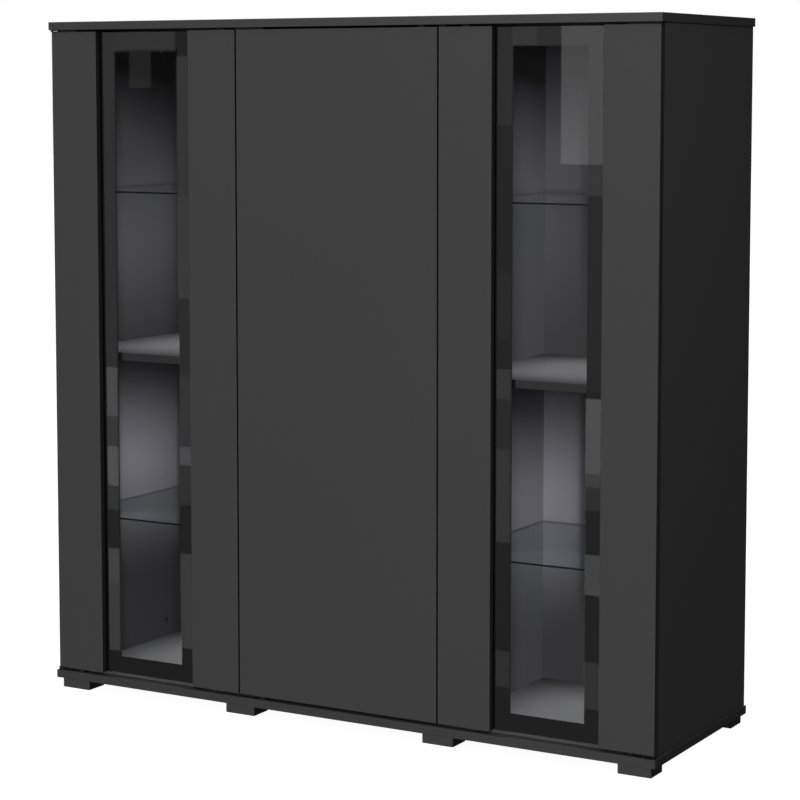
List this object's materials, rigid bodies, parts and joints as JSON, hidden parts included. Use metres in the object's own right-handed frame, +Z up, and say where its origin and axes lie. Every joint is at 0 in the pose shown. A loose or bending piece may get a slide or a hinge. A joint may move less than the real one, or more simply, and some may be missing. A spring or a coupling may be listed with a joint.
{
  "type": "china cabinet",
  "caption": "Handle-less highboard with board and glass shelves behind glazed side doors and a plain middle door, on low block feet.",
  "frame": {"origin": "on the floor, under the centre of the top board", "axes": "+Z up, doors face -Y, +X to the right seen from the front"},
  "size_m": [1.33, 0.436, 1.353],
  "materials": {
    "graphite_laminate": "matt graphite laminated board",
    "door_laminate": "matt graphite lacquered board",
    "back_board": "matt graphite fibreboard",
    "door_glass": "clear toughened, black printed border",
    "shelf_glass": "clear float glass, ground edges",
    "black_steel": "matt black powder coat",
    "zinc_steel": "zinc plated",
    "graphite_plastic": "moulded",
    "grey_plastic": "moulded, dark grey",
    "clear_rubber": "translucent",
    "beech": "fluted dowel"
  },
  "bodies": {
    "carcass": {"back_panel_nails": "zinc_steel", "bottom_panel": "graphite_laminate", "cam_bolts": "zinc_steel", "cam_locks": "zinc_steel", "centre_back_panel": "back_board", "centre_latch_body": "grey_plastic", "centre_latch_spring": "zinc_steel", "centre_lower_shelf": "graphite_laminate", "centre_middle_shelf": "graphite_laminate", "centre_upper_shelf": "graphite_laminate", "door_bumpers": "clear_rubber", "dowels": "beech", "fitting_screws": "zinc_steel", "foot_screws": "zinc_steel", "front_feet": "graphite_plastic", "hinge_base_plates": "black_steel", "left_back_panel": "back_board", "left_divider": "graphite_laminate", "left_latch_body": "grey_plastic", "left_latch_spring": "zinc_steel", "left_lower_glass_shelf": "shelf_glass", "left_middle_shelf": "graphite_laminate", "left_side_panel": "graphite_laminate", "left_upper_glass_shelf": "shelf_glass", "rear_feet": "graphite_plastic", "right_back_panel": "back_board", "right_divider": "graphite_laminate", "right_latch_body": "grey_plastic", "right_latch_spring": "zinc_steel", "right_lower_glass_shelf": "shelf_glass", "right_middle_shelf": "graphite_laminate", "right_side_panel": "graphite_laminate", "right_upper_glass_shelf": "shelf_glass", "shelf_pins": "zinc_steel", "top_panel": "graphite_laminate", "wall_brackets": "zinc_steel"},
    "left_door": {"left_door_bottom_rail": "black_steel", "left_door_glass": "door_glass", "left_door_hinge_plates": "black_steel", "left_door_inner_strip": "door_laminate", "left_door_outer_strip": "door_laminate", "left_door_screws": "black_steel", "left_door_strike_plate": "zinc_steel", "left_door_top_rail": "black_steel"},
    "left_plunger": {"left_latch_plunger": "grey_plastic"},
    "centre_door": {"centre_door_hinge_plates": "black_steel", "centre_door_panel": "door_laminate", "centre_door_screws": "black_steel", "centre_door_strike_plate": "zinc_steel"},
    "centre_plunger": {"centre_latch_plunger": "grey_plastic"},
    "right_door": {"right_door_bottom_rail": "black_steel", "right_door_glass": "door_glass", "right_door_hinge_plates": "black_steel", "right_door_inner_strip": "door_laminate", "right_door_outer_strip": "door_laminate", "right_door_screws": "black_steel", "right_door_strike_plate": "zinc_steel", "right_door_top_rail": "black_steel"},
    "right_plunger": {"right_latch_plunger": "grey_plastic"}
  },
  "joints": [
    {"name": "left_door_hinge", "type": "hinge", "parent": "carcass", "child": "left_door", "pos_m": [-0.6595, -0.212, 0.6865], "axis": [0, 0, -1], "range_deg": [0, 110]},
    {"name": "centre_door_hinge", "type": "hinge", "parent": "carcass", "child": "centre_door", "pos_m": [-0.21783, -0.212, 0.6865], "axis": [0, 0, -1], "range_deg": [0, 110]},
    {"name": "right_door_hinge", "type": "hinge", "parent": "carcass", "child": "right_door", "pos_m": [0.6595, -0.212, 0.6865], "axis": [0, 0, 1], "range_deg": [0, 110]},
    {"name": "left_latch_push", "type": "slide", "parent": "carcass", "child": "left_plunger", "axis": [0, 1, 0], "range_m": [0, 0.003], "stiffness_N_per_m": 300, "deforming": ["left_latch_spring"]},
    {"name": "centre_latch_push", "type": "slide", "parent": "carcass", "child": "centre_plunger", "axis": [0, 1, 0], "range_m": [0, 0.003], "stiffness_N_per_m": 300, "deforming": ["centre_latch_spring"]},
    {"name": "right_latch_push", "type": "slide", "parent": "carcass", "child": "right_plunger", "axis": [0, 1, 0], "range_m": [0, 0.003], "stiffness_N_per_m": 300, "deforming": ["right_latch_spring"]}
  ]
}
